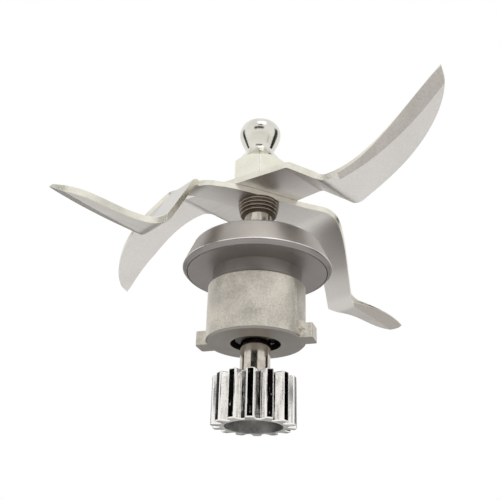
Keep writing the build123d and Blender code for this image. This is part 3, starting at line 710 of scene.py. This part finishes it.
def couplingTree(look):
    tree = bpy.data.node_groups.new("couplingTree", "GeometryNodeTree")
    tree.is_modifier = True
    sockets = dict.fromkeys(look["counts"], "NodeSocketInt")
    sockets.update(dict.fromkeys([*look["sizes"], "turn"], "NodeSocketFloat"))
    sockets["finish"] = "NodeSocketMaterial"
    for name, kind in sockets.items():
        tree.interface.new_socket(name, in_out="INPUT", socket_type=kind)
    tree.interface.new_socket("Geometry", in_out="OUTPUT", socket_type="NodeSocketGeometry")
    given = addNode(tree, "NodeGroupInput").outputs

    known = {name: given[name] for name in sockets}
    known["index"] = addNode(tree, "GeometryNodeInputIndex").outputs[0]
    for name, operation, *sources in outlineSums:
        inputs = {place: known.get(source, source) for place, source in enumerate(sources)}
        known[name] = addNode(tree, "ShaderNodeMath", {"operation": operation}, inputs).outputs[0]

    spot = addNode(tree, "ShaderNodeCombineXYZ", inputs={0: known["x"], 1: known["y"]})
    start = addNode(tree, "GeometryNodeCurvePrimitiveCircle", {"mode": "RADIUS"},
                    {"Resolution": known["pointCount"], "Radius": 1.0})
    placed = addNode(tree, "GeometryNodeSetPosition",
                     inputs={"Geometry": start.outputs["Curve"], "Position": spot.outputs[0]})
    outline = addNode(tree, "GeometryNodeFilletCurve", {"mode": "POLY"},
                      {"Curve": placed.outputs[0], "Count": known["cornerSteps"],
                       "Radius": known["cornerRound"], "Limit Radius": True}).outputs[0]
    recess, bore = (
        addNode(tree, "GeometryNodeCurvePrimitiveCircle", {"mode": "RADIUS"},
                {"Resolution": known[circle + "Steps"],
                 "Radius": known[circle + "Radius"]}).outputs["Curve"]
        for circle in ("recess", "bore"))

    joined = addNode(tree, "GeometryNodeJoinGeometry")
    faces = ((outline, recess, 0.0), (recess, bore, known["recessDepth"]),
             (outline, bore, known["height"]))
    for outer, inner, level in faces:
        both = addNode(tree, "GeometryNodeJoinGeometry")
        tree.links.new(outer, both.inputs[0])
        tree.links.new(inner, both.inputs[0])
        filled = addNode(tree, "GeometryNodeFillCurve", {"mode": "NGONS"}, {"Curve": both.outputs[0]})
        lift = addNode(tree, "ShaderNodeCombineXYZ", inputs={2: level})
        raised = addNode(tree, "GeometryNodeTransform",
                         inputs={"Geometry": filled.outputs[0], "Translation": lift.outputs[0]})
        tree.links.new(raised.outputs[0], joined.inputs[0])
    walls = ((outline, 0.0, known["height"]), (recess, 0.0, known["recessDepth"]),
             (bore, known["recessDepth"], known["boreDepth"]))
    for line, low, tall in walls:
        edge = addNode(tree, "GeometryNodeCurveToMesh", inputs={"Curve": line})
        lift = addNode(tree, "ShaderNodeCombineXYZ", inputs={2: low})
        raised = addNode(tree, "GeometryNodeTransform",
                         inputs={"Geometry": edge.outputs[0], "Translation": lift.outputs[0]})
        rise = addNode(tree, "ShaderNodeCombineXYZ", inputs={2: tall})
        wall = addNode(tree, "GeometryNodeExtrudeMesh", {"mode": "EDGES"},
                       {"Mesh": raised.outputs[0], "Offset": rise.outputs[0], "Offset Scale": 1.0})
        tree.links.new(wall.outputs["Mesh"], joined.inputs[0])
    merged = addNode(tree, "GeometryNodeMergeByDistance",
                     inputs={"Geometry": joined.outputs[0], "Distance": mergeMm * mm})
    real = addNode(tree, "GeometryNodeRealizeInstances", inputs={"Geometry": merged.outputs[0]})
    painted = addNode(tree, "GeometryNodeSetMaterial",
                      inputs={"Geometry": real.outputs[0], "Material": known["finish"]})
    end = addNode(tree, "NodeGroupOutput")
    tree.links.new(painted.outputs[0], end.inputs[0])
    return tree


def couplingFinish(centre, normal, look):
    sizes = look["sizes"]
    margin = look["recessMargin"]
    radius = centre.xy.length
    outward = normal.xy.dot(centre.xy.normalized())
    # the recess takes its painted shade
    if radius < sizes["recessRadius"] + margin and centre.z < sizes["recessDepth"] + margin:
        return "recess"
    if abs(normal.z) > look["endLook"]:
        return "couplingEnd"
    # sloped faces of the rounded rims take the corner's painted highlight
    if abs(normal.z) > look["cornerLook"]:
        return "toothCorner"
    # near the tips, faces that look outward take the crown's painted dark reflection, the rest the
    # corner's painted highlight
    if radius > sizes["tipRadius"] - look["crownDepth"]:
        return "toothCrown" if outward > look["crownLook"] else "toothCorner"
    # faces at the root that look outward take the valley's painted shade
    return "toothValley" if outward > look["valleyLook"] else "toothFlank"


def couplingMesh(look):
    tree = couplingTree(look)
    maker = bpy.data.objects.new("couplingMaker", bpy.data.meshes.new("couplingMaker"))
    scene.collection.objects.link(maker)
    modifier = maker.modifiers.new("couplingTree", "NODES")
    values = dict(look["counts"], turn=math.radians(look["turn"]), finish=finishes["toothFlank"])
    values.update({name: size * mm for name, size in look["sizes"].items()})
    modifier.node_group = tree
    for item in tree.interface.items_tree:
        if item.in_out == "INPUT":
            modifier[item.identifier] = values[item.name]
    evaluated = maker.evaluated_get(bpy.context.evaluated_depsgraph_get())
    mesh = bpy.data.meshes.new_from_object(evaluated)
    maker.modifiers.remove(modifier)
    bpy.data.objects.remove(maker)
    mesh.name = look["piece"]
    mesh.materials.clear()
    return mesh


def buildCoupling(look):
    mesh = couplingMesh(look)
    work = bmesh.new()
    work.from_mesh(mesh)
    bmesh.ops.recalc_face_normals(work, faces=work.faces)

    # the rims of both end faces, outside the recess
    def isRim(edge):
        first, second = (vert.co for vert in edge.verts)
        atEnd = any(max(abs(first.z - end * mm), abs(second.z - end * mm)) < look["rimNear"] * mm
                    for end in (0.0, look["sizes"]["height"]))
        return (edge.is_manifold and edge.calc_face_angle() > math.radians(look["rimAngle"])
                and first.xy.length > look["rimRadius"] * mm and atEnd)

    rims = [edge for edge in work.edges if isRim(edge)]
    bmesh.ops.bevel(work, geom=rims, offset=look["rounding"] * mm, offset_type="OFFSET",
                    affect="EDGES", segments=look["steps"], profile=0.5, clamp_overlap=True)
    gaps = [edge for edge in work.edges if not edge.is_manifold]
    for face in work.faces:
        face.smooth = True
        finish = couplingFinish(face.calc_center_median() / mm, face.normal, look)
        face.material_index = look["finishes"].index(finish)
    work.to_mesh(mesh)
    work.free()
    print("coupling made:", len(mesh.polygons), "faces,", len(gaps), "open edges")
    standFor(look, mesh)


buildCoupling(coupling)

# Pieces that keep their CAD mesh, by finish
nodeFinish = {
    "shaft": ("shaft", "inner_spacer"),
    "spring": ("coupling_ring", "lower_shaft_ring", "upper_shaft_ring", "preload_washer"),
    "bearing": ("lower_outer_ring", "upper_outer_ring", "lower_inner_ring", "upper_inner_ring",
                "lower_balls", "upper_balls"),
    "cage": ("lower_cage", "upper_cage"),
    "faced": ("outer_spacer",),
    "rubber": ("shaft_seal",),
}
for finish, names in nodeFinish.items():
    for nodeName in names:
        slots = nodes[nodeName].data.materials
        slots.clear()
        slots.append(finishes[finish])
print("inner pieces dressed")
